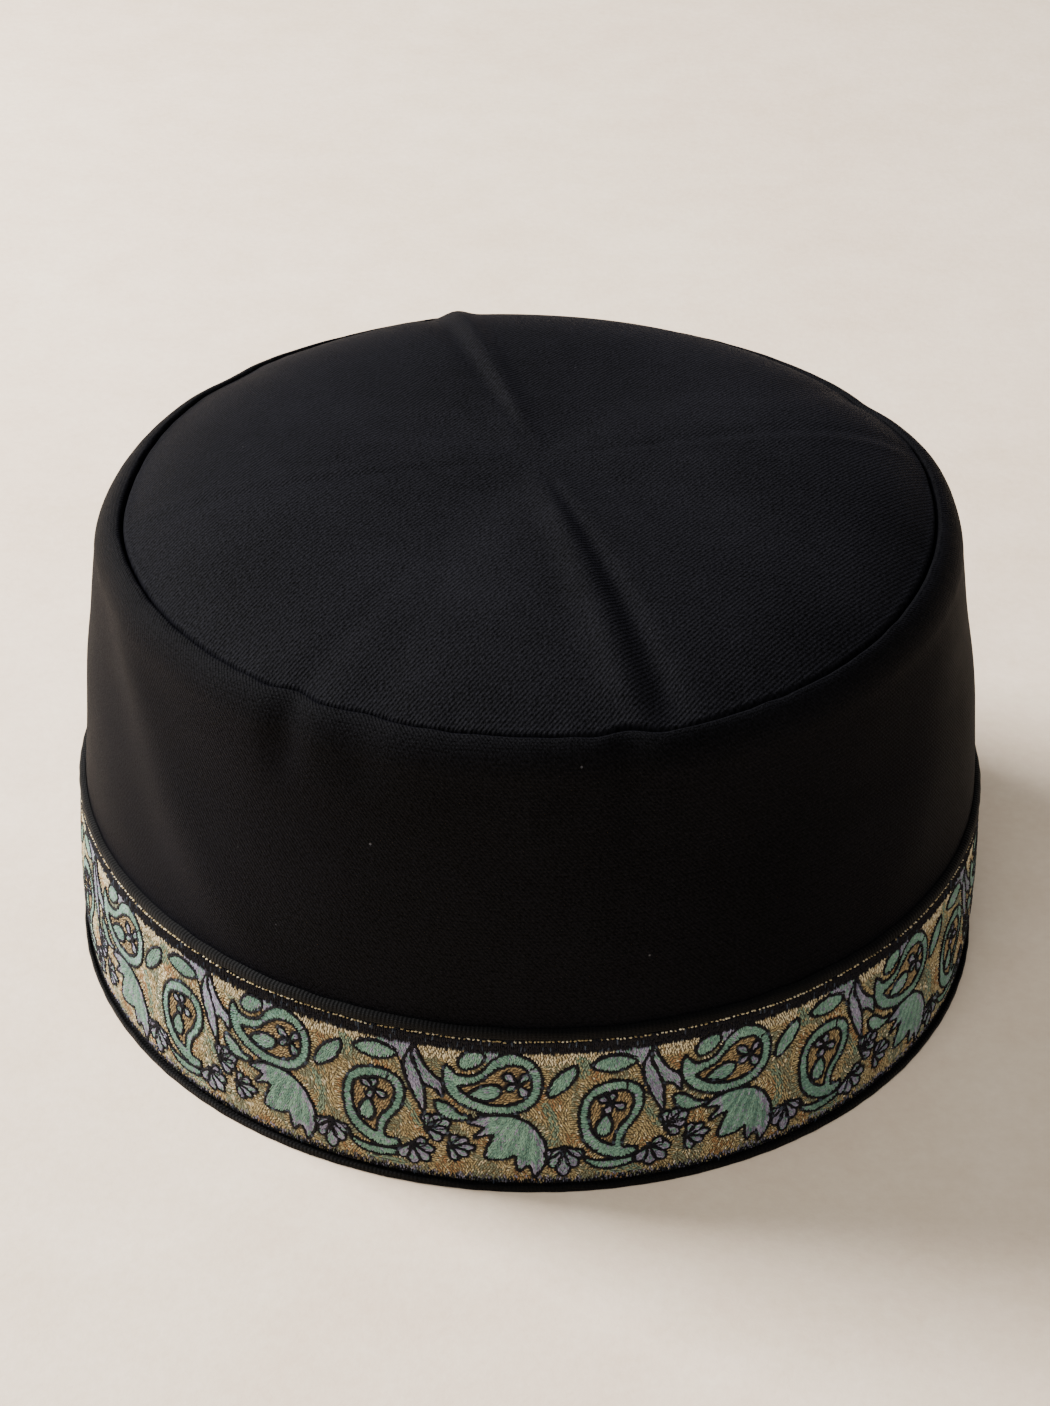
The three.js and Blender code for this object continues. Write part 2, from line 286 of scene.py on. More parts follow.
def clothLoop(radius, height, thickness, thinning=2):
    # face line, then the same line moved in by the cloth's thickness, run backwards with fewer points
    backRadius, backHeight = besideLine(radius, height, -thickness)
    keep = np.unique(np.r_[np.arange(0, radius.shape[1], thinning), radius.shape[1] - 1])[::-1]
    return np.hstack([radius, backRadius[:, keep]]), np.hstack([height, backHeight[:, keep]])


class Wire:
    # a socket in a material: arithmetic on it adds Math nodes

    def __init__(self, finish, socket):
        self.finish = finish
        self.socket = socket

    def math(self, operation, *others):
        inputs = dict(enumerate([self, *others]))
        return self.finish.node("ShaderNodeMath", {"operation": operation}, inputs)

    def __add__(self, other):
        return self.math("ADD", other)

    def __radd__(self, other):
        return self.math("ADD", other)

    def __sub__(self, other):
        return self.math("SUBTRACT", other)

    def __rsub__(self, other):
        return self.finish.node("ShaderNodeMath", {"operation": "SUBTRACT"}, {0: other, 1: self})

    def __mul__(self, other):
        return self.math("MULTIPLY", other)

    def __rmul__(self, other):
        return self.math("MULTIPLY", other)

    def sine(self):
        return self.math("SINE")

    def clipped(self, low, high):
        # 0 at low, 1 at high, even between them and held at both ends
        inputs = {"Value": self, "From Min": low, "From Max": high}
        return self.finish.node("ShaderNodeMapRange", {"clamp": True}, inputs)


class Finish:
    # one material and its nodes

    def __init__(self, name):
        self.material = bpy.data.materials.new(name)
        self.material.use_nodes = True
        self.tree = self.material.node_tree
        self.tree.nodes.clear()

    def node(self, kind, settings, inputs, output=0):
        # one node: its settings first, then the values or links of its sockets
        made = self.tree.nodes.new(kind)
        for key, value in settings.items():
            setattr(made, key, value)
        for key, value in inputs.items():
            if isinstance(value, Wire):
                self.tree.links.new(value.socket, made.inputs[key])
            else:
                made.inputs[key].default_value = value
        return Wire(self, made.outputs[output])

    def mix(self, share, first, second):
        # colour between two colours
        settings = {"data_type": "RGBA", "blend_type": "MIX"}
        return self.node("ShaderNodeMix", settings, {0: share, 6: first, 7: second}, 2)

    def noise(self, spot, scale, detail=2.0, roughness=0.5):
        inputs = {"Vector": spot, "Scale": scale, "Detail": detail, "Roughness": roughness}
        return self.node("ShaderNodeTexNoise", {}, inputs, "Fac")

    def bump(self, strength, distance, height):
        inputs = {"Strength": strength, "Distance": distance, "Height": height}
        return self.node("ShaderNodeBump", {}, inputs, "Normal")

    def clothMap(self):
        # the piece's own map, its length round the cap and its length up the cloth
        spot = self.node("ShaderNodeUVMap", {"uv_map": "clothMap"}, {})
        across = self.node("ShaderNodeSeparateXYZ", {}, {"Vector": spot}, "X")
        up = self.node("ShaderNodeSeparateXYZ", {}, {"Vector": spot}, "Y")
        return spot, across, up

    def surface(self, **inputs):
        # the shader, its sockets named with _ for a space
        named = {key.replace("_", " "): value for key, value in inputs.items()}
        shader = self.node("ShaderNodeBsdfPrincipled", {}, named)
        out = self.tree.nodes.new("ShaderNodeOutputMaterial")
        self.tree.links.new(shader.socket, out.inputs["Surface"])
        return self.material


def tone(red, green, blue):
    # display colour of 0 to 255 as Blender's linear colour
    share = np.array([red, green, blue]) / 255
    linear = np.where(share <= 0.04045, share / 12.92, ((share + 0.055) / 1.055) ** 2.4)
    return (*linear.tolist(), 1.0)


woolCloth = {
    # the crown and the wall are one wool; the wall's tone is set darker than the crown's as painted shade,
    # for the less light that the wall takes
    "dark": tone(1, 1, 1), "crown": tone(24, 24, 28), "wall": tone(18, 18, 21), "lint": tone(96, 96, 100),
    "pitch": {"crown": 0.72, "wall": 0.62}, "lean": {"crown": 52, "wall": -48}, "relief": 0.00034,
    "ridges": {"crown": 0.36, "wall": 0.3}, "sheen": tone(112, 112, 165),
    # scales of the noise for one metre, from hairs to broad patches, and of the cells that hold the lint
    "fuzz": 2600.0, "slub": 1500.0, "soft": 900.0, "fine": 240.0, "patches": 26.0, "cells": 120.0,
}


def clothFinish(name, part, settings):
    # twill: ridges along one slanting line, broken by the yarns that cross it and by soft noise
    finish = Finish(name)
    spot, across, up = finish.clothMap()
    lean = np.radians(settings["lean"][part])
    beat = 2 * np.pi / (settings["pitch"][part] * mm)
    soft = finish.noise(spot, settings["soft"], 2.0)
    slope = up * (np.cos(lean) * beat) - across * (np.sin(lean) * beat)
    ridges = (slope + soft * 2.4).sine() * 0.5 + 0.5
    yarns = (up * (beat * 0.92)).sine() * 0.5 + 0.5
    fuzz = finish.noise(spot, settings["fuzz"], 2.0)
    weave = ridges * settings["ridges"][part] + yarns * 0.15 + fuzz * 0.6
    patches = finish.noise(spot, settings["patches"], 3.0, 0.55)
    fine = finish.noise(spot, settings["fine"], 3.0, 0.6)
    slub = finish.noise(spot, settings["slub"], 2.0, 0.7)
    shade = (patches * 0.3 + fine * 0.15 + slub * 0.8 + weave * 0.3).clipped(0.58, 1.05)
    # the light end is the crown's or the wall's tone, the wall's darker one being painted shade
    ground = finish.mix(shade, settings["dark"], settings[part])
    # lint: the middles of scattered cells, kept where a slow noise is high
    inputs = {"Vector": spot, "Scale": settings["cells"]}
    cells = finish.node("ShaderNodeTexVoronoi", {"feature": "F1"}, inputs, "Distance")
    lint = (cells * -1 + 0.035).clipped(0.0, 0.012) * finish.noise(spot, 60.0, 1.0).clipped(0.56, 0.6)
    colour = finish.mix(lint * 0.5, ground, settings["lint"])
    bump = finish.bump(0.7, settings["relief"], weave + slub * 0.8)
    return finish.surface(
        Base_Color=colour, Roughness=fine * 0.12 + 0.62, Normal=bump, Specular_IOR_Level=0.025,
        Sheen_Weight=0.012, Sheen_Roughness=0.45, Sheen_Tint=settings["sheen"],
    )


def tapeFinish(name, settings):
    # corded tape: fine upright ribs with soft noise
    finish = Finish(name)
    spot, across, up = finish.clothMap()
    ribs = (across * (2 * np.pi / (settings["pitch"] * mm))).sine() * 0.5 + 0.5
    yarns = (up * (2 * np.pi / (settings["yarn"] * mm))).sine() * 0.5 + 0.5
    fuzz = finish.noise(spot, settings["fuzz"], 2.0)
    weave = ribs * 0.5 + yarns * 0.3 + fuzz * 0.4
    shade = (finish.noise(spot, settings["patches"], 3.0) * 0.7 + weave * 0.3).clipped(0.3, 0.8)
    colour = finish.mix(shade, settings["dark"], settings["light"])
    bump = finish.bump(0.6, settings["relief"], weave)
    return finish.surface(
        Base_Color=colour, Roughness=fuzz * 0.15 + 0.6, Normal=bump, Specular_IOR_Level=0.07,
        Sheen_Weight=0.01, Sheen_Roughness=0.5,
    )


def ribbonFinish():
    # the ribbon's own weave: fine crossing yarns over the colour that the chart gives it, a darkened copy of
    # the threads' colours that paints the shade between the stitches
    finish = Finish("ribbonWeave")
    colour = finish.node("ShaderNodeAttribute", {"attribute_name": "threadColour"}, {}, "Color")
    spot, across, up = finish.clothMap()
    beat = 2 * np.pi / (ribbon["yarn"] * mm)
    yarns = (across * beat).sine() * 0.25 + (up * beat).sine() * 0.25
    weave = yarns + finish.noise(spot, ribbon["fuzz"], 2.0)
    worn = finish.mix(weave.clipped(0.3, 1.0) * 0.5, colour, ribbon["gap"])
    bump = finish.bump(0.5, ribbon["relief"], weave)
    return finish.surface(
        Base_Color=worn, Roughness=weave * 0.1 + 0.66, Normal=bump, Specular_IOR_Level=0.2,
        Sheen_Weight=0.02, Sheen_Roughness=0.5,
    )


twist = {"scale": 2200.0, "shadow": (0.02, 0.017, 0.014, 1.0), "relief": 0.00006, "roughness": 0.62}


def threadFinish(name, gloss, level):
    # twisted thread: the colour of each stitch, a little uneven, with a fine twist as bump
    finish = Finish(name)
    colour = finish.node("ShaderNodeAttribute", {"attribute_name": "threadColour"}, {}, "Color")
    spot = finish.node("ShaderNodeTexCoord", {}, {}, "Object")
    strand = finish.noise(spot, twist["scale"], 2.0)
    shaded = finish.mix(strand.clipped(0.3, 0.75) * 0.35, colour, twist["shadow"])
    bump = finish.bump(0.4, twist["relief"], strand)
    return finish.surface(
        Base_Color=shaded, Roughness=strand * 0.2 + (twist["roughness"] - gloss), Normal=bump,
        Specular_IOR_Level=level, Sheen_Weight=level * 0.1,
    )


floorSettings = {
    "pale": tone(249, 231, 208), "grey": tone(231, 208, 182), "size": 4.0,
    "patches": 9.0, "blots": 60.0, "grain": 420.0, "relief": 0.0005,
}


def floorFinish():
    # pale plaster: broad patches, blots and a fine grain, each a noise with its own share
    finish = Finish("paleFloor")
    spot = finish.node("ShaderNodeTexCoord", {}, {}, "Object")
    patches = finish.noise(spot, floorSettings["patches"], 5.0, 0.62)
    blots = finish.noise(spot, floorSettings["blots"], 4.0, 0.6)
    grain = finish.noise(spot, floorSettings["grain"], 3.0, 0.65)
    shade = (patches * 0.45 + blots * 0.35 + grain * 0.3).clipped(0.38, 0.72)
    colour = finish.mix(shade, floorSettings["grey"], floorSettings["pale"])
    bump = finish.bump(0.2, floorSettings["relief"], grain)
    return finish.surface(
        Base_Color=colour, Roughness=grain * 0.1 + 0.62, Normal=bump, Specular_IOR_Level=0.3,
    )


def dress(piece, material, node):
    # material and body of a piece, and the solid that it stands for, if any
    piece.data.materials.append(material)
    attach(piece, "root")
    if node:
        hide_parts(node)
    print("made", piece.name, len(piece.data.polygons), "faces")


view = {
    "target": (0.0, 0.0, 45.0), "distance": 642.6, "elevation": 34.16, "roll": 1.18,
    "focalPixels": 3100, "shift": (6.3, 15.5), "tall": 1406, "sensor": 36, "nearest": 0.05,
}


def makeCamera():
    # pinhole camera at the photograph's angle, its long side upright
    camera = bpy.data.cameras.new("camera")
    seat = bpy.data.objects.new("camera", camera)
    bpy.context.scene.collection.objects.link(seat)
    elevation = np.radians(view["elevation"])
    back = Vector((0, -np.cos(elevation), np.sin(elevation)))
    seat.location = (Vector(view["target"]) + back * view["distance"]) * mm
    aim = back.to_track_quat("Z", "Y") @ Quaternion((0, 0, 1), np.radians(view["roll"]))
    seat.rotation_euler = aim.to_euler()
    camera.sensor_width = view["sensor"]
    camera.lens = view["focalPixels"] / view["tall"] * camera.sensor_width
    camera.shift_x = -view["shift"][0] / view["tall"]
    camera.shift_y = view["shift"][1] / view["tall"]
    camera.clip_start = view["nearest"]
    bpy.context.scene.camera = seat


lights = {
    # place, aimed at, size, watts, colour
    "window": ((-1.0, 0.35, 0.82), (0, 0, 0.05), 0.55, 64, (1.0, 0.98, 0.97)),
    "front": ((-0.5, -1.2, 1.4), (0, 0, 0.03), 1.0, 13, (1.0, 0.96, 0.91)),
    "sky": 0.44, "skyColour": (1.0, 0.985, 0.965, 1.0),
}


def makeLights():
    # two soft square lamps and an even pale sky
    for name in ("window", "front"):
        spot, aim, size, watts, colour = lights[name]
        lamp = bpy.data.lights.new(name, "AREA")
        lamp.shape = "SQUARE"
        lamp.size = size
        lamp.energy = watts
        lamp.color = colour
        seat = bpy.data.objects.new(name, lamp)
        bpy.context.scene.collection.objects.link(seat)
        seat.location = spot
        seat.rotation_euler = (Vector(spot) - Vector(aim)).to_track_quat("Z", "Y").to_euler()
    world = bpy.data.worlds.new("studio")
    world.use_nodes = True
    ground = world.node_tree.nodes["Background"]
    ground.inputs["Color"].default_value = lights["skyColour"]
    ground.inputs["Strength"].default_value = lights["sky"]
    bpy.context.scene.world = world


def makeFloor():
    # one flat square, its middle under the cap
    half = floorSettings["size"] / 2 / mm
    points = np.array([(-half, -half, 0), (half, -half, 0), (half, half, 0), (-half, half, 0)])
    floor = meshPiece("floor", points, np.array([[0, 1, 2, 3]]))
    floor.data.materials.append(floorFinish())


makeCamera()
makeLights()
makeFloor()
print("stage set")


def makeWall():
    # the wall rises in even steps, rolls over the seam on a quarter oval and turns down inside it
    azimuth = np.arange(wall["columns"]) * 360 / wall["columns"]
    at = azimuth[:, None]
    shoulder = wall["rise"][-1] * cap["seamHeight"]
    heights = np.linspace(bandFoot, shoulder, wall["steps"])[None]
    radius = wallRadius(at, heights)
    seam = seamFace * (1 + swell(at)) + gatherOffset(at, 1.0)
    crest = seamLevel(at) + wall["crest"] + wall["crestWave"] * puckers(at)
    lip = seam + wall["lip"]
    reach = radius[:, -1:] - lip
    angle = np.linspace(0, np.pi / 2, wall["rollSteps"])[1:][None]
    rollRadius = lip + reach * np.cos(angle) ** wall["rollPower"]
    rollHeight = shoulder + (crest - shoulder) * np.sin(angle)
    near = np.sin(angle) ** 3 * wall["pucker"] * puckers(at)
    inward = np.array(wall["hemIn"])[None]
    downward = np.array([*wall["hemDown"], cap["seamAllowance"] + 0.5])[None]
    hemRadius = lip - wall["hemReach"] * inward
    radius = np.hstack([radius, rollRadius - near, hemRadius])
    height = np.hstack([heights + 0 * at, rollHeight, crest - downward])
    piece = ringPiece("woolWall", azimuth, *clothLoop(radius, height, cap["wallThickness"], 3))
    # the wall's tone is the same wool as the crown's, darker as painted shade
    dress(piece, clothFinish("woolTwillWall", "wall", woolCloth), "side_wall")


def makeCrown():
    # the crown's face from the centre to the seam, rounded down beside the wall, and its back
    azimuth = np.arange(crown["columns"]) * 360 / crown["columns"]
    at = azimuth[:, None]
    seam = crownFace * (1 + swell(at)) + gatherOffset(at, 1.0)
    edge = crown["edge"]
    flat = seam - edge
    share = np.linspace(0, 1, crown["rings"])[1:][None] ** crown["spacing"]
    lift = crownHeight(at, share * flat / seam)
    lift = lift + crown["pucker"] * puckers(at) * smoothStep(share, 0.93, 1.0)
    bend = np.radians(np.array(crown["edgeAngles"]))[None]
    last = lift[:, -1:]
    radius = np.hstack([flat * share, flat + edge * np.sin(bend), seam + 0 * at, seam + 0 * at])
    rounded = last - edge * crown["edgeDrop"] * (1 - np.cos(bend))
    depth = np.array([crown["tuck"], cap["seamAllowance"]])[None]
    height = np.hstack([cap["seamHeight"] + lift, cap["seamHeight"] + rounded, seamLevel(at) - depth])
    backRadius, backHeight = besideLine(radius, height, cap["crownThickness"])
    keep = np.arange(radius.shape[1] - 1, 0, -3)
    radius = np.hstack([radius, backRadius[:, keep]])
    height = np.hstack([height, backHeight[:, keep]])
    rows = radius.shape[1]
    columns = len(azimuth)
    top = cap["seamHeight"] + cap["crownRise"]
    poles = np.array([[0, 0, top], [0, 0, top - cap["crownThickness"]]])
    points = np.vstack([place(at, radius, height).reshape(-1, 3), poles])
    quads, _ = gridFaces(columns, rows, False, upward=False)
    i = np.arange(columns)
    following = (i + 1) % columns
    upper = np.stack([0 * i + columns * rows, i * rows, following * rows], -1)
    under = np.stack([0 * i + columns * rows + 1, (following + 1) * rows - 1, (i + 1) * rows - 1], -1)
    triangles = np.vstack([upper, under])
    corners = np.concatenate([quads.ravel(), triangles.ravel()])
    piece = meshPiece("woolCrown", points, quads, triangles, maps=points[corners][:, :2] + 100)
    dress(piece, clothFinish("woolTwillCrown", "crown", woolCloth), "crown_panel")


makeWall()
makeCrown()


ribbon = {
    "columns": 65, "rows": 44,  # columns in one repeat
    # the ground's and the fills' shares of their threads' colours on the ribbon: painted shade between the
    # stitches
    "base": 0.62, "groundShadeShare": 0.2, "underlayShadeShare": 0.55, "navyGap": 0.45, "navyFrom": 33.6,
    "yarn": 0.5, "fuzz": 1500.0, "gap": (0.006, 0.006, 0.005, 1.0), "relief": 0.0001,
}
tape = {
    "columns": 600, "dark": tone(1, 1, 1), "light": tone(12, 12, 13), "relief": 0.0004,
    "pitch": 0.8, "yarn": 0.31, "fuzz": 1900.0, "patches": 90.0,
    "tuck": 0.1, "footWave": 0.06, "narrow": 0.2, "widthWave": 0.12, "bulgeWave": 0.05,
    # the bulge: shares of the width and of the thickness
    "rise": [0.0, 0.03, 0.12, 0.3, 0.5, 0.7, 0.86, 0.95, 1.0, 1.0],
    "bulge": [0.25, 0.62, 0.88, 1.0, 0.97, 0.9, 0.78, 0.55, 0.25, 0.05],
    "inner": [8, 5, 2, 0],
}
binding = {"drop": 0.9, "dropWave": 0.16, "bulge": 0.55, "bulgeWave": 0.06}


def stitchFace(azimuth, height):
    # radius of the ribbon's cloth, on which the stitches lie
    return wallRadius(azimuth, height) + cap["fit"] + ribbon["base"]


def makeTape():
    # folded tape: a soft bulge over the band's edge, its free edge uneven by small waves
    azimuth = np.arange(tape["columns"]) * 360 / tape["columns"]
    at = azimuth[:, None]
    foot = bandTop + cap["fit"] - tape["tuck"] + tape["footWave"] * ripple(at, (33, 51, 77), 1.0, 21)
    width = cap["edgingWidth"] - tape["narrow"] + tape["widthWave"] * ripple(at, (19, 43, 61), 1.0, 22)
    height = foot + np.array(tape["rise"])[None] * width
    inner = wallRadius(at, height) + cap["fit"] * 0.5
    uneven = 1 + tape["bulgeWave"] * ripple(at, (27, 71, 118), 1.0, 23)
    outer = inner + cap["edgingThickness"] * np.array(tape["bulge"])[None] * uneven
    radius = np.hstack([outer, inner[:, tape["inner"]]])
    height = np.hstack([height, height[:, tape["inner"]]])
    piece = ringPiece("foldedTape", azimuth, radius, height)
    dress(piece, tapeFinish("blackTape", tape), "band_edging")


def makeBinding():
    # tape folded round the foot: up the outside, flat underneath and up the inside
    azimuth = np.arange(tape["columns"]) * 360 / tape["columns"]
    at = azimuth[:, None]
    outside = wallRadius(at, bandFoot) + 2 * cap["fit"] + cap["bandThickness"]
    inside = wallRadius(at, bandFoot) - cap["wallThickness"] - cap["fit"]
    thick = cap["bindingThickness"]
    top = cap["bindingFold"] - binding["drop"] + binding["dropWave"] * ripple(at, (23, 47, 69), 1.0, 31)
    bulge = thick * (binding["bulge"] + binding["bulgeWave"] * ripple(at, (31, 67, 109), 1.0, 32))
    bend = 0.5 * thick
    radius = [
        inside - thick + 0.45 * bend, outside + bulge - 0.6 * bend, outside + bulge - 0.2 * bend,
        outside + bulge, outside + bulge, outside + 0.9 * bulge, outside + 0.5 * bulge, outside + 0.0 * at,
        outside + 0.0 * at, inside + 0.0 * at, inside + 0.0 * at, inside - 0.5 * thick, inside - thick,
        inside - thick, inside - thick + 0.15 * bend,
    ]
    height = [
        0, 0, 0.25 * bend, bend * 0.8, top - 0.4, top - 0.12, top, top - 0.05,
        thick, thick, cap["bindingInnerFold"] - 0.2, cap["bindingInnerFold"], cap["bindingInnerFold"] - 0.2,
        bend * 0.9, 0.25 * bend,
    ]
    height = [level + 0 * at for level in height]
    piece = ringPiece("rimBinding", azimuth, np.hstack(radius), np.hstack(height))
    dress(piece, tapeFinish("bindingTape", tape), "rim_binding")


makeTape()
makeBinding()


# One repeat of the border in millimetres: along the band, and up from the rim.
chart = {
    "repeats": 13, "start": -17.4,  # azimuth of the standing paisley
    "radius": 94.3, "foot": 1.8, "top": 33.3, "edge": 0.84, "fringe": 1.9,
}
chart["length"] = 2 * np.pi * chart["radius"] / chart["repeats"]

shapes = {
    "standingOuter": [
        (-0.9, 26.2), (1.4, 26.3), (3.3, 25.8), (5.0, 24.6), (5.8, 22.9), (5.9, 20.6), (5.4, 18.4),
        (4.4, 16.5), (3.1, 14.7), (2.3, 12.9), (2.0, 11.1), (2.4, 10.0), (3.9, 9.9), (4.9, 9.6),
        (4.9, 8.7), (3.9, 7.8), (1.8, 7.4), (-0.2, 7.8), (-2.3, 8.9), (-4.2, 10.7), (-5.5, 12.9),
        (-6.1, 15.5), (-6.4, 18.4), (-6.1, 21.0), (-5.2, 23.3), (-3.6, 25.2),
    ],
    "standingInner": [
        (-1.7, 23.6), (0.4, 24.1), (2.3, 23.9), (3.7, 22.8), (4.1, 21.0), (3.7, 19.1), (2.9, 17.2),
        (1.6, 15.5), (0.8, 13.8), (0.5, 12.0), (0.3, 10.9), (-0.9, 11.3), (-2.3, 12.3), (-3.6, 14.0),
        (-4.3, 16.2), (-4.6, 18.7), (-4.4, 21.0), (-3.5, 22.7),
    ],
    "standingLeaf": [
        (-1.3, 18.5), (-0.2, 17.1), (0.0, 15.2), (-0.6, 13.6), (-1.6, 13.3), (-3.0, 14.2), (-2.9, 16.4),
    ],
    "crestLeaf": [
        (-4.1, 30.3), (-2.5, 31.7), (-0.2, 32.3), (2.0, 32.0), (3.7, 31.2), (4.3, 30.4), (2.7, 29.1),
        (0.2, 28.5), (-1.9, 28.8), (-3.4, 29.4),
    ],
    "crestPatch": [
        (-0.2, 33.8), (7.5, 33.8), (7.5, 32.8), (6.5, 31.2), (5.8, 29.5), (4.8, 30.1), (3.7, 31.5),
        (2.0, 32.3),
    ],
    "bladeLeft": [
        (7.5, 33.3), (6.5, 31.5), (5.8, 29.2), (6.0, 26.6), (6.5, 24.6), (7.3, 22.5), (8.2, 20.6),
        (9.1, 18.9), (9.8, 17.5), (10.0, 19.1), (10.0, 21.0), (9.8, 22.9), (9.5, 24.5), (8.9, 26.4),
        (8.0, 28.3), (7.3, 29.6), (7.3, 31.5),
    ],
    "bladeRight": [
        (7.8, 33.3), (8.7, 31.0), (9.8, 28.9), (11.3, 27.1), (12.7, 26.0), (13.3, 24.8), (13.2, 22.1),
        (11.9, 23.6), (10.8, 24.2), (9.5, 24.5), (8.9, 26.4), (8.3, 27.9), (7.7, 29.5), (7.4, 31.5),
    ],
    "commaLeaf": [
        (11.8, 20.6), (12.6, 21.1), (13.9, 20.8), (15.2, 19.9), (16.2, 18.8), (17.5, 18.2), (18.8, 18.2),
        (18.2, 17.4), (17.0, 16.9), (15.2, 16.8), (13.4, 17.4), (12.3, 18.8),
    ],
    "lyingOuter": [
        (13.9, 29.6), (13.3, 27.5), (13.5, 25.0), (14.5, 22.9), (16.4, 21.1), (18.5, 20.0), (21.4, 19.1),
        (24.8, 19.0), (28.1, 19.7), (30.3, 21.3), (31.7, 23.7), (32.1, 26.6), (31.7, 29.2), (30.2, 31.5),
        (28.1, 32.8), (26.0, 33.4), (23.9, 32.6), (22.3, 31.2), (21.2, 29.5), (19.8, 28.1), (17.7, 27.5),
        (15.8, 27.8), (15.0, 28.7),
    ],
    "lyingInner": [
        (16.2, 24.8), (18.1, 25.5), (20.2, 26.4), (21.8, 27.9), (23.5, 29.5), (25.6, 30.5), (27.7, 30.5),
        (29.3, 29.4), (30.1, 27.5), (30.0, 25.0), (28.9, 22.9), (26.8, 21.5), (23.9, 21.1), (21.0, 21.5),
        (18.5, 22.6),
    ],
    "lyingLeaf": [
        (18.4, 23.2), (20.2, 25.0), (22.2, 25.8), (24.2, 25.4), (24.3, 23.9), (22.8, 22.4), (20.6, 22.3),
    ],
    "notchLeaf": [
        (16.1, 30.5), (17.0, 32.4), (18.9, 33.3), (20.7, 33.1), (21.3, 31.9), (20.2, 30.3), (18.5, 29.2),
        (16.8, 29.2),
    ],
    "notchPatch": [
        (20.9, 33.8), (25.5, 33.8), (23.9, 32.8), (22.3, 31.6), (21.5, 31.2),
    ],
    "budLeaf": [
        (-7.3, 30.5), (-6.9, 28.9), (-7.5, 27.0), (-8.8, 25.3), (-10.4, 24.0), (-11.7, 23.3),
        (-12.3, 23.9), (-12.1, 25.7), (-11.2, 27.6), (-9.4, 29.4),
    ],
    "stemLeaf": [
        (-5.7, 9.7), (-4.6, 8.0), (-2.3, 7.1), (0.2, 6.9), (2.7, 7.1), (4.4, 7.1), (4.2, 5.8),
        (2.3, 5.1), (-0.2, 4.8), (-2.7, 5.3), (-4.4, 6.6), (-5.4, 8.2),
    ],
    "vineLeft": [
        (-12.6, 22.0), (-11.2, 20.0), (-10.2, 17.0), (-10.0, 14.0), (-11.2, 11.2), (-12.4, 11.4),
        (-11.8, 14.0), (-12.0, 17.0), (-13.4, 20.8),
    ],
    "vineTop": [
        (-7.0, 32.6), (-4.6, 31.6), (-4.6, 28.3), (-6.4, 27.6), (-7.2, 29.6),
    ],
    "vineRight": [
        (6.3, 20.6), (7.6, 18.6), (8.8, 16.4), (9.2, 14.3), (8.0, 14.5), (7.2, 16.8), (5.9, 18.8),
    ],
    "vineFoot": [
        (2.6, 6.4), (5.0, 5.0), (6.4, 3.4), (3.0, 3.3), (-1.6, 3.6), (-4.0, 4.4), (-1.0, 4.2),
    ],
    "tulip": [
        (18.3, 16.5), (19.8, 17.7), (21.8, 18.5), (24.3, 18.8), (26.8, 18.6), (28.9, 17.7), (30.6, 16.3),
        (31.8, 14.5), (32.8, 12.2), (33.3, 9.5), (32.9, 6.6), (32.0, 4.5), (31.0, 3.2), (30.5, 5.1),
        (29.8, 6.3), (29.0, 5.7), (28.1, 4.8), (27.5, 6.6), (27.3, 8.8), (25.8, 8.0), (23.9, 7.6),
        (22.3, 7.6), (21.5, 8.4), (21.8, 10.2), (22.5, 12.3), (23.1, 13.8), (21.9, 13.8), (19.8, 12.9),
        (19.6, 13.4), (20.4, 14.4), (21.3, 15.5), (20.2, 16.0),
    ],
}

# a fan or a small flower: hub, thickness of the dark edge, and a tip and a width for each petal
fans = {
    "rightFan": (
        (10.3, 14.0), 0.62,
        [(10.5, 17.3, 2.3), (12.9, 17.4, 2.2), (14.9, 16.2, 2.3), (14.5, 13.8, 2.2), (13.1, 11.3, 2.3)],
    ),
    "downFan": (
        (7.3, 9.5), 0.62,
        [(10.3, 10.6, 2.2), (11.8, 8.5, 2.3), (10.7, 5.4, 2.5), (7.9, 4.3, 2.5), (5.2, 5.6, 2.3)],
    ),
    "sideFan": (
        (14.7, 10.2), 0.62,
        [(16.0, 13.1, 1.7), (18.2, 12.4, 1.8), (19.7, 10.3, 1.8), (18.3, 8.1, 1.9), (16.0, 6.6, 1.8)],
    ),
    "domeFan": (
        (-9.1, 10.8), 0.62,
        [(-12.6, 8.7, 2.1), (-11.4, 5.9, 2.4), (-9.0, 3.4, 2.6), (-6.6, 5.9, 2.4), (-5.3, 8.8, 2.1)],
    ),
    "standingFlower": (
        (-0.2, 21.1), 0.5,
        [(-2.7, 22.6, 1.6), (-0.1, 23.6, 1.6), (2.3, 19.7, 1.7), (-1.3, 18.8, 1.7)],
    ),
    "lyingFlower": (
        (27.6, 26.3), 0.5,
        [(25.0, 28.5, 1.9), (29.5, 28.6, 1.6), (29.1, 23.4, 1.9), (25.3, 24.9, 1.5)],
    ),
}

# open lines of dark thread
lines = {
    "crestStem": [(4.3, 30.4), (5.2, 28.5), (5.7, 26.6), (6.3, 24.6)],
    "crestTop": [(-4.6, 30.4), (-2.6, 32.2), (0.0, 32.7), (2.2, 32.5), (4.4, 31.5)],
    "standingTie": [(2.8, 25.8), (2.5, 24.0)],
    "lyingTie": [(30.9, 30.5), (29.8, 29.5)],
    "fanStem": [(9.8, 17.6), (9.9, 15.9), (10.3, 14.2)],
    "fanHook": [(10.3, 14.2), (10.4, 12.9), (11.6, 12.0)],
    "downHook": [(4.6, 9.9), (5.2, 8.2), (6.3, 8.9), (7.3, 9.3)],
    "sideHook": [(15.0, 10.7), (14.3, 9.0), (14.9, 7.2)],
    "domeBack": [(-12.0, 8.4), (-11.3, 10.1), (-9.1, 11.0), (-6.9, 10.2), (-5.6, 9.0)],
    "tulipStem": [(20.0, 18.6), (23.0, 19.3), (27.0, 19.1)],
}

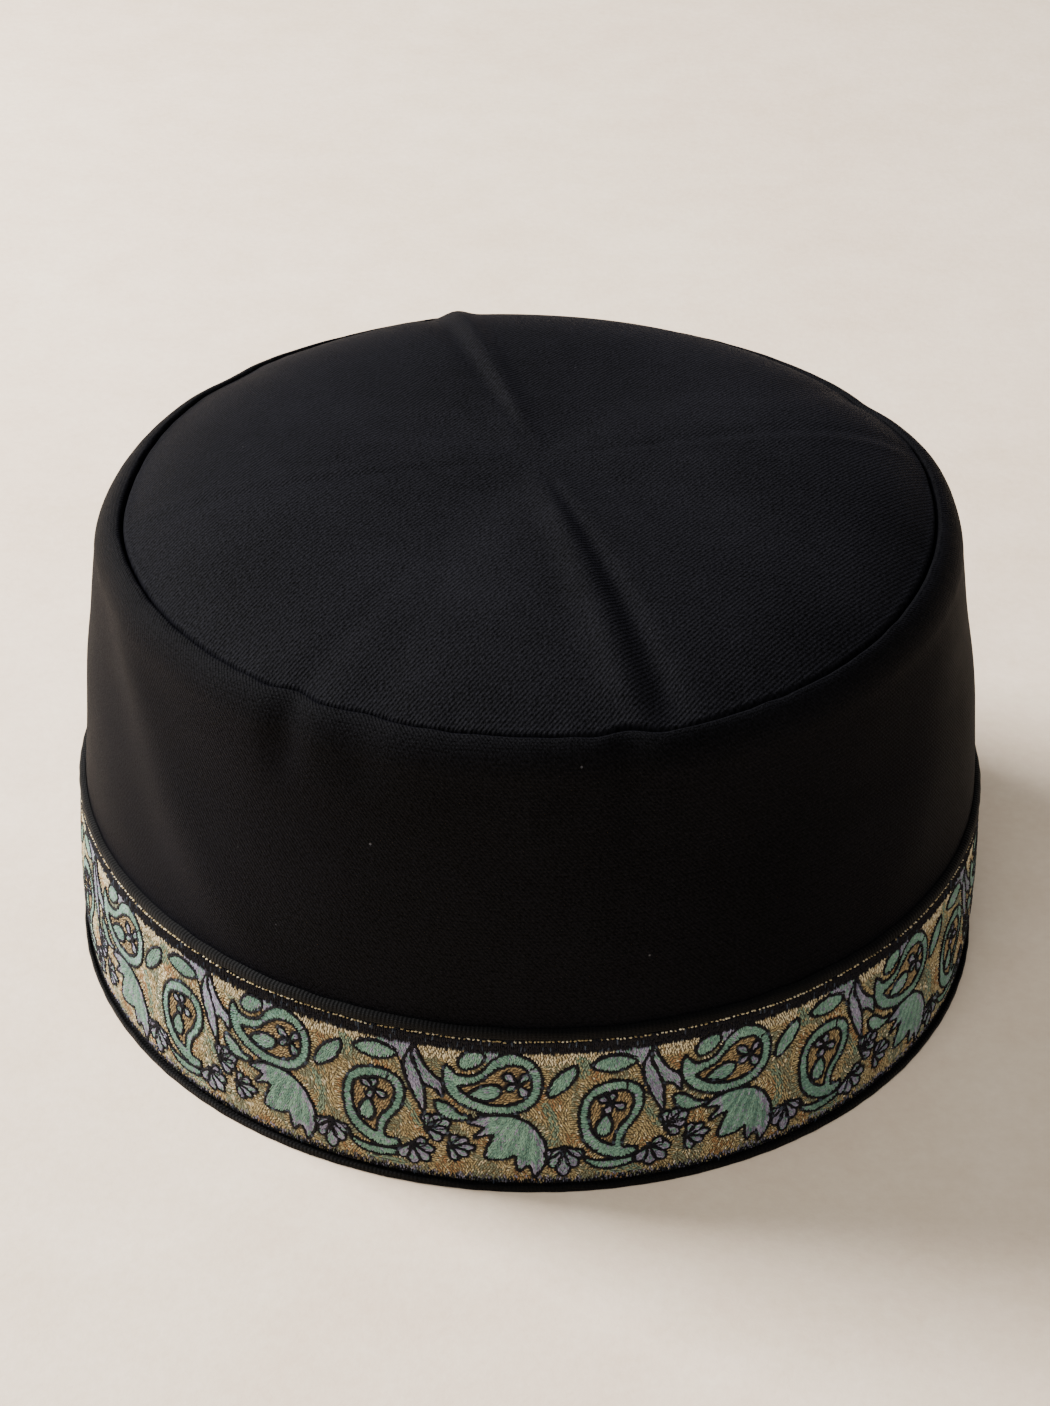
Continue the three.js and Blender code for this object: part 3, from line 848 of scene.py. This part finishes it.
fills = {
    # paint order: thread, how the stitches run (a number is in degrees), whether dark thread goes round
    "crestPatch": ("lilac", 90, False), "notchPatch": ("lilac", 90, False),
    "vineLeft": ("moss", "along", False), "vineTop": ("moss", 90, False),
    "vineRight": ("moss", "along", False), "vineFoot": ("moss", "along", False),
    "standingOuter": ("sage", "across", True), "standingInner": ("ochre", 70, True),
    "standingLeaf": ("sage", 80, True), "crestLeaf": ("sage", 84, True),
    "bladeLeft": ("lilac", -72, True), "bladeRight": ("lilac", -60, True),
    "commaLeaf": ("sage", "across", True), "lyingOuter": ("sage", "across", True),
    "lyingInner": ("ochre", 30, True), "lyingLeaf": ("sage", 20, True),
    "notchLeaf": ("sage", 84, True), "budLeaf": ("sage", 58, True),
    "stemLeaf": ("sage", "across", True), "tulip": ("sage", "vein", True),
}

# the tulip's veins spread from one point, and lilac thread edges its back, its first petals and its tips
tulip = {
    "veinsFrom": (31, 25), "veins": 38, "veinBend": 0.8, "veinTint": 0.28,
    "backFrom": 29.0, "petalsTo": 22.2, "tipsTo": 8.0, "backEdge": 1.4, "edge": 1.0,
}

threads = {
    # two display colours that each stitch lies between
    "gold": ((144, 124, 80), (212, 194, 144)),
    "olive": ((104, 110, 86), (150, 156, 126)),
    "moss": ((102, 128, 106), (154, 174, 146)),
    "shine": ((206, 188, 144), (248, 238, 206)),
    "rust": ((140, 100, 60), (184, 142, 92)),
    "ochre": ((126, 104, 68), (188, 162, 114)),
    "sage": ((80, 122, 108), (138, 178, 158)),
    "lilac": ((108, 104, 128), (168, 163, 187)),
    "navy": ((4, 5, 10), (13, 14, 26)),
    "slate": ((26, 32, 44), (70, 80, 94)),
}


def petal(hub, tip, width):
    # teardrop from hub to tip, widest past its middle
    hub, tip = np.array(hub), np.array(tip)
    way = tip - hub
    side = np.array([-way[1], way[0]]) / np.hypot(*way)
    shares = np.array([0.12, 0.42, 0.72, 0.93, 1.0, 0.93, 0.72, 0.42])
    sides = np.array([0.0, 0.34, 0.5, 0.3, 0.0, -0.3, -0.5, -0.34]) * width
    return hub + shares[:, None] * way + sides[:, None] * side


def outlineField(points, outline):
    # for each point: distance to the outline, the way that runs there, and whether the point is inside
    ends = np.roll(outline, -1, 0)
    step = ends - outline
    away = points[:, None] - outline[None]
    share = np.clip((away * step).sum(-1) / (step ** 2).sum(-1), 0, 1)
    away = away - share[..., None] * step
    squared = (away ** 2).sum(-1)
    nearest = squared.argmin(1)
    row = np.arange(len(points))
    x, y = points[:, :1], points[:, 1:]
    spans = (outline[:, 1] > y) != (ends[:, 1] > y)
    rise = np.where(step[:, 1] == 0, 1e-9, step[:, 1])
    crossing = outline[:, 0] + (y - outline[:, 1]) / rise * step[:, 0]
    inside = (spans & (x < crossing)).sum(1) % 2 == 1
    way = np.arctan2(step[nearest, 1], step[nearest, 0])
    return np.sqrt(squared[row, nearest]), way, inside


def linePoints(corners, closed, gap):
    # even points along a line, with the way it runs at each
    line = np.vstack([corners, corners[:1]]) if closed else np.asarray(corners, float)
    length = np.concatenate([[0], np.cumsum(np.hypot(*np.diff(line, axis=0).T))])
    count = max(2, int(round(length[-1] / gap)))
    middle = (np.arange(count) + 0.5) * length[-1] / count

    def spotAt(far):
        return np.stack([np.interp(far, length, line[:, 0]), np.interp(far, length, line[:, 1])], -1)

    way = np.arctan2(*(spotAt(middle + 0.1) - spotAt(middle - 0.1)).T[::-1])
    return spotAt(middle), way


def shadeOf(names, tint):
    # each stitch's colour, somewhere between its thread's two, paler where the tint is higher
    colours = np.zeros((len(names), 3))
    share = np.clip(luck.normal(0.5, 0.2, len(names)) + tint, 0, 1)[:, None]
    for name, pair in threads.items():
        own = names == name
        dark, light = (np.array(tone(*colour)[:3]) for colour in pair)
        colours[own] = dark + (light - dark) * share[own]
    return colours


# a stitch's form in shares of its length, width and lift, with its faces
grain = {
    "points": [(-0.5, 0, 0.1), (-0.27, 0.5, 0), (-0.27, 0, 1), (-0.27, -0.5, 0),
               (0.27, 0.5, 0), (0.27, 0, 1), (0.27, -0.5, 0), (0.5, 0, 0.1)],
    "quads": [(1, 2, 5, 4), (2, 3, 6, 5), (3, 1, 4, 6)],
    "triangles": [(0, 2, 1), (0, 3, 2), (0, 1, 3), (7, 4, 5), (7, 5, 6), (7, 6, 4)],
}
dash = {
    "points": [(-0.5, 0, 0.25), (0, 0.5, 0), (0, 0, 1), (0, -0.5, 0), (0.5, 0, 0.25)],
    "quads": [],
    "triangles": [(0, 2, 1), (0, 3, 2), (0, 1, 3), (4, 1, 2), (4, 2, 3), (4, 3, 1)],
}


def stitchPiece(name, form, spots, way, length, width, lift, sink, colours, gloss, level=0.4):
    # every stitch is a small closed form turned to its way and laid on the ribbon's curve
    shape = np.array(form["points"])
    along = shape[None, :, 0] * length[:, None]
    across = shape[None, :, 1] * width[:, None]
    cos, sin = np.cos(way)[:, None], np.sin(way)[:, None]
    x = spots[:, :1] + along * cos - across * sin
    y = spots[:, 1:] + along * sin + across * cos
    azimuth = chart["start"] + x / chart["radius"] * 180 / np.pi
    radius = stitchFace(azimuth, y) + sink + shape[None, :, 2] * lift[:, None]
    points = place(azimuth, radius, y).reshape(-1, 3)
    first = np.arange(len(spots))[:, None, None] * len(shape)
    quads = (np.array(form["quads"], int).reshape(-1, 4)[None] + first).reshape(-1, 4)
    triangles = (np.array(form["triangles"])[None] + first).reshape(-1, 3)
    piece = meshPiece(name, points, quads, triangles, colours=np.repeat(colours, len(shape), axis=0))
    dress(piece, threadFinish(name + "Thread", gloss, level), None)


def chartShapes():
    # every closed shape of one repeat in paint order: outline, thread, way, dark edge, edge's thickness
    ordered = {name: (smoothOutline(shapes[name]), *fills[name], chart["edge"]) for name in fills}
    for name, (hub, edge, petals) in fans.items():
        for number, (x, y, width) in enumerate(petals):
            outline = smoothOutline(petal(hub, (x, y), width), 3)
            ordered[name + str(number)] = (outline, "lilac", "along", True, edge)
    return ordered


def paintChart(points, outlines):
    # for points of one repeat: thread, way of the stitch, distance to dark thread, and tint
    half = chart["length"] / 2
    thread = np.full(len(points), "gold", dtype="U8")
    way = np.pi / 2 + 0.5 * np.sin(points[:, 0] * 0.42 + points[:, 1] * 0.33)
    gap = np.full(len(points), 9.0)
    tint = np.zeros(len(points))
    for name, (outline, fill, run, ringed, _) in outlines.items():
        middle = outline.mean(0)[0]
        local = points.copy()
        local[:, 0] = (points[:, 0] - middle + half) % chart["length"] - half + middle
        distance, along, inside = outlineField(local, outline)
        closer = (distance < gap) & ringed
        gap = np.where(closer, distance, gap)
        fringe = closer & ~inside & (thread == "gold") & (distance < chart["fringe"])
        way = np.where(fringe, along + np.pi / 2, way)
        thread[inside] = fill
        gap = np.where(inside & ringed, distance, gap)
        if run == "across":
            way = np.where(inside, along + np.pi / 2, way)
        elif run == "along":
            way = np.where(inside, along, way)
        elif run == "vein":
            x, y = local[:, 0], local[:, 1]
            spread = np.arctan2(y - tulip["veinsFrom"][1], x - tulip["veinsFrom"][0])
            way = np.where(inside, spread, way)
            veins = tulip["veinTint"] * np.sin(spread * tulip["veins"] + tulip["veinBend"] * np.sin(x))
            tint = np.where(inside, veins, tint)
            back = x > tulip["backFrom"]
            petals = x < tulip["petalsTo"]
            rim = (distance < tulip["backEdge"]) & back | petals | (distance < tulip["edge"])
            thread[inside & rim & (back | petals | (y < tulip["tipsTo"]))] = "lilac"
        else:
            way = np.where(inside, np.radians(run), way)
    return thread, way, gap, tint


def makeRibbon(outlines):
    # the ribbon under the stitches, coloured by the chart so that no other colour shows between them; each
    # thread's colour is darkened there as painted shade between the stitches
    repeats = chart["repeats"]
    x = np.arange(ribbon["columns"]) * chart["length"] / ribbon["columns"]
    heights = np.linspace(bandFoot, bandTop, ribbon["rows"])
    grid = np.stack(np.meshgrid(x, heights, indexing="ij"), -1).reshape(-1, 2)
    thread, _, gap, _ = paintChart(grid, outlines)
    thread[(gap < ribbon["navyGap"]) | (grid[:, 1] > ribbon["navyFrom"])] = "navy"
    colours = np.array([np.mean([tone(*colour)[:3] for colour in threads[name]], 0) for name in thread])
    # painted shade between the stitches: each thread's colour taken darker, the ground's much darker than
    # the fills'
    share = np.where(np.isin(thread, groundThreads), ribbon["groundShadeShare"], ribbon["underlayShadeShare"])
    colours = (colours * share[:, None]).reshape(ribbon["columns"], ribbon["rows"], 3)
    columns = repeats * ribbon["columns"]
    azimuth = chart["start"] + np.arange(columns) * 360 / columns
    at = azimuth[:, None]
    outer = stitchFace(at, heights[None])
    keep = np.linspace(ribbon["rows"] - 1, 0, 5).astype(int)
    inner = outer[:, keep] - ribbon["base"]
    height = np.concatenate([heights, heights[keep]])[None] + 0 * at
    colours = np.concatenate([colours, colours[:, keep]], 1)
    colours = np.tile(colours, (repeats, 1, 1)).reshape(-1, 3)
    piece = ringPiece("ribbonCloth", azimuth, np.hstack([outer, inner]), height, colours)
    dress(piece, ribbonFinish(), "embroidered_band")


def flow(points):
    # sum of two slanting sines, whole numbers of waves round the cap so that they close
    turns = points[:, 0] / (chart["repeats"] * chart["length"]) * 2 * np.pi
    height = points[:, 1]
    first = np.sin(turns * 57 + height * 0.42 + 1.3 * np.sin(height * 0.2 + turns * 13))
    return first + 0.6 * np.sin(turns * 34 - height * 0.38 + 1)


def scatter(pitch, jitter, outlines):
    # loose brick grid of seeds over every repeat, painted from the chart
    rows = np.arange(chart["foot"], chart["top"], pitch)
    x = np.arange(0, chart["length"], pitch)
    grid = np.stack(np.meshgrid(x, rows, indexing="ij"), -1)
    grid[:, 1::2, 0] += pitch / 2
    grid = grid.reshape(-1, 2)
    pools = []
    for number in range(chart["repeats"]):
        points = grid + luck.uniform(-jitter, jitter, grid.shape) * pitch
        found = paintChart(points, outlines)
        pools.append((points + (number * chart["length"], 0), *found))
    return [np.concatenate(part) for part in zip(*pools)]


groundThreads = ["gold", "ochre", "moss"]
ground = {
    "pitch": 0.54, "jitter": 0.28, "clear": 0.42, "brightFrom": 30.9, "footTo": 3.4, "lean": 0.13,
    # size of a stitch, and the shares of it that are drawn between
    "length": (1.0, 0.75, 1.2), "width": (0.40, 0.85, 1.2), "lift": (0.22, 0.8, 1.25), "gloss": 0.2,
    # which seeds, their drift above and below, their chance above and below, and their new thread
    "changes": [
        ("plain", 0.35, 9, -1, 0.72, "olive"), ("plain", -9, -0.7, -1, 0.5, "rust"),
        ("moss", -9, 9, -1, 0.25, "gold"), ("plain", -9, 9, 0.9, 1, "shine"),
        ("plain", -9, 9, 0.8, 0.88, "ochre"), ("ochre", -9, 9, 0.84, 1, "gold"),
        ("bright", -9, 9, -1, 0.75, "shine"), ("foot", -9, 9, -1, 0.3, "lilac"),
        ("foot", -9, 9, 0.72, 1, "slate"),
    ],
    "pieces": {
        "goldStitches": ["gold", "shine"],
        "oliveStitches": ["olive", "moss", "rust", "ochre", "lilac", "slate"],
    },
}


def sewPieces(settings, points, thread, way, tint):
    # one piece for each group of threads, each stitch's size its own share of the usual one
    for name, kinds in settings["pieces"].items():
        own = np.isin(thread, kinds)
        sizes = []
        for key in ("length", "width", "lift"):
            usual, low, high = settings[key]
            sizes.append(usual * luck.uniform(low, high, own.sum()))
        colours = shadeOf(thread[own], tint[own])
        stitchPiece(name, dash, points[own], way[own], *sizes, -0.02, colours, settings["gloss"])


def stitchGround(outlines):
    # seed stitches between the shapes: gold, with drifts of olive and rust and a bright upper edge
    points, thread, way, gap, tint = scatter(ground["pitch"], ground["jitter"], outlines)
    keep = np.isin(thread, groundThreads) & (gap > ground["clear"])
    points, thread, way, tint = points[keep], thread[keep], way[keep], tint[keep]
    drift = flow(points)
    chance = luck.random(len(points))
    plain = thread == "gold"
    bright = plain & (points[:, 1] > ground["brightFrom"])
    foot = plain & (points[:, 1] < ground["footTo"])
    areas = {"plain": plain, "bright": bright, "foot": foot}
    for which, driftAbove, driftBelow, chanceAbove, chanceBelow, new in ground["changes"]:
        area = areas.get(which, thread == which)
        area = area & (drift > driftAbove) & (drift < driftBelow)
        thread[area & (chance > chanceAbove) & (chance < chanceBelow)] = new
    way = np.where(bright | foot, np.pi / 2, way) + luck.normal(0, ground["lean"], len(way))
    sewPieces(ground, points, thread, way, tint)


satin = {
    "pitch": 0.40, "jitter": 0.3, "clear": 0.30, "lean": 0.1,
    "length": (1.25, 0.8, 1.2), "width": (0.50, 0.85, 1.15), "lift": (0.30, 0.85, 1.15), "gloss": 0.16,
    "drift": 0.13,  # how much the shade drifts
    "sageInLilac": 0.30, "lilacInSage": 0.06, "lilacInDrift": 0.12, "driftFrom": 0.8,
    "pieces": {"sageStitches": ["sage"], "lilacStitches": ["lilac"]},
}


def stitchSatin(outlines):
    # close satin stitches inside the shapes, their shade drifting slowly
    points, thread, way, gap, tint = scatter(satin["pitch"], satin["jitter"], outlines)
    keep = ~np.isin(thread, groundThreads) & (gap > satin["clear"])
    points, thread, way, tint = points[keep], thread[keep], way[keep], tint[keep]
    drift = flow(points * (1.0, 1.6))
    chance = luck.random(len(points))
    toSage = (thread == "lilac") & (chance < satin["sageInLilac"])
    lilacShare = satin["lilacInSage"] + satin["lilacInDrift"] * (drift > satin["driftFrom"])
    thread[(thread == "sage") & (chance < lilacShare)] = "lilac"
    thread[toSage] = "sage"
    tint = tint + satin["drift"] * drift
    way = way + luck.normal(0, satin["lean"], len(way))
    sewPieces(satin, points, thread, way, tint)


darkThread = {
    "step": 0.66, "stemStep": 0.6, "stemWidth": 0.7, "knots": 6, "knotRadius": 0.42, "knotWidth": 0.8,
    "wander": 0.06, "lean": 0.1, "slateShare": 0.05, "level": 0.12,
    "length": (1.05, 1.35), "width": (0.85, 1.15), "lift": (0.34, 0.42),
}


def stitchOutlines(outlines):
    # dark thread end to end along every outline and stem, and a knot of it at each fan's hub
    strands = []
    for outline, _, _, ringed, edge in outlines.values():
        if ringed:
            strands.append((outline, True, darkThread["step"], edge))
    for corners in lines.values():
        strands.append((corners, False, darkThread["stemStep"], darkThread["stemWidth"]))
    spots, ways, widths = [], [], []
    for corners, closed, step, width in strands:
        found = linePoints(corners, closed, step)
        spots.append(found[0])
        ways.append(found[1])
        widths.append(np.full(len(found[0]), width))
    for hub, *_ in fans.values():
        around = np.linspace(0, 2 * np.pi, darkThread["knots"] + 1)[:-1]
        ring = darkThread["knotRadius"] * np.stack([np.cos(around), np.sin(around)], -1)
        spots.append(np.array(hub) + ring)
        ways.append(around)
        widths.append(np.full(darkThread["knots"], darkThread["knotWidth"]))
    spots, ways, widths = np.concatenate(spots), np.concatenate(ways), np.concatenate(widths)
    repeats = chart["repeats"]
    shifts = np.repeat(np.arange(repeats) * chart["length"], len(spots))
    count = repeats * len(spots)
    spots = np.tile(spots, (repeats, 1)) + luck.normal(0, darkThread["wander"], (count, 2))
    spots[:, 0] += shifts
    ways = np.tile(ways, repeats) + luck.normal(0, darkThread["lean"], count)
    names = np.where(luck.random(count) < darkThread["slateShare"], "slate", "navy")
    length = luck.uniform(*darkThread["length"], count)
    width = np.tile(widths, repeats) * luck.uniform(*darkThread["width"], count)
    lift = luck.uniform(*darkThread["lift"], count)
    colours = shadeOf(names, np.zeros(count))
    stitchPiece(
        "outlineStitches", grain, spots, ways, length, width, lift, -0.02, colours, 0.0, darkThread["level"],
    )


border = {
    # each row's height over the rim, its unevenness and its stitches' length
    "rows": [(35.45, 0.12, 1.6), (34.5, 0.16, 1.5), (33.8, 0.25, 1.3), (1.9, 0.3, 1.5)],
    "step": 0.4, "wander": 0.07, "lean": 0.1, "slateShare": 0.06,
    "length": (0.75, 1.2), "width": (0.40, 0.52), "lift": (0.28, 0.36),
}


def stitchBorder():
    # upright dark stitches along the band's top and foot
    x = np.arange(0, chart["length"] * chart["repeats"], border["step"])
    spots, length = [], []
    for level, uneven, usual in border["rows"]:
        across = x + luck.normal(0, border["wander"], len(x))
        spots.append(np.stack([across, level + luck.normal(0, uneven, len(x))], -1))
        length.append(usual * luck.uniform(*border["length"], len(x)))
    spots, length = np.concatenate(spots), np.concatenate(length)
    count = len(spots)
    names = np.where(luck.random(count) < border["slateShare"], "slate", "navy")
    way = np.pi / 2 + luck.normal(0, border["lean"], count)
    width = luck.uniform(*border["width"], count)
    lift = luck.uniform(*border["lift"], count)
    colours = shadeOf(names, np.zeros(count))
    stitchPiece(
        "borderStitches", grain, spots, way, length, width, lift, 0.0, colours, 0.0, darkThread["level"],
    )


goldLine = {
    "level": 36.2, "sway": 0.12, "wander": 0.06, "steps": (0.5, 1.15), "meanStep": 0.8,
    "kept": 0.93, "goldShare": 0.45, "lean": 0.25, "tint": (-0.25, 0.25), "proud": 0.1, "gloss": 0.2,
    "length": (0.35, 0.8), "width": (0.24, 0.38), "lift": (0.26, 0.36),
}


def stitchGoldLine():
    # a broken line of gold thread under the tape, swaying by a slow sine
    around = chart["length"] * chart["repeats"]
    x = np.cumsum(luck.uniform(*goldLine["steps"], int(around / goldLine["meanStep"])))
    x = x[x < around]
    x = x[luck.random(len(x)) < goldLine["kept"]]
    count = len(x)
    sway = goldLine["sway"] * np.sin(x * 0.21) + luck.normal(0, goldLine["wander"], count)
    spots = np.stack([x, goldLine["level"] + sway], -1)
    names = np.where(luck.random(count) < goldLine["goldShare"], "gold", "shine")
    way = luck.normal(0, goldLine["lean"], count)
    length = luck.uniform(*goldLine["length"], count)
    width = luck.uniform(*goldLine["width"], count)
    lift = luck.uniform(*goldLine["lift"], count)
    colours = shadeOf(names, luck.normal(*goldLine["tint"], count))
    stitchPiece(
        "goldLineStitches", grain, spots, way, length, width, lift,
        goldLine["proud"], colours, goldLine["gloss"],
    )


outlines = chartShapes()
makeRibbon(outlines)
stitchGround(outlines)
stitchSatin(outlines)
stitchOutlines(outlines)
stitchBorder()
stitchGoldLine()
print("needlework done")
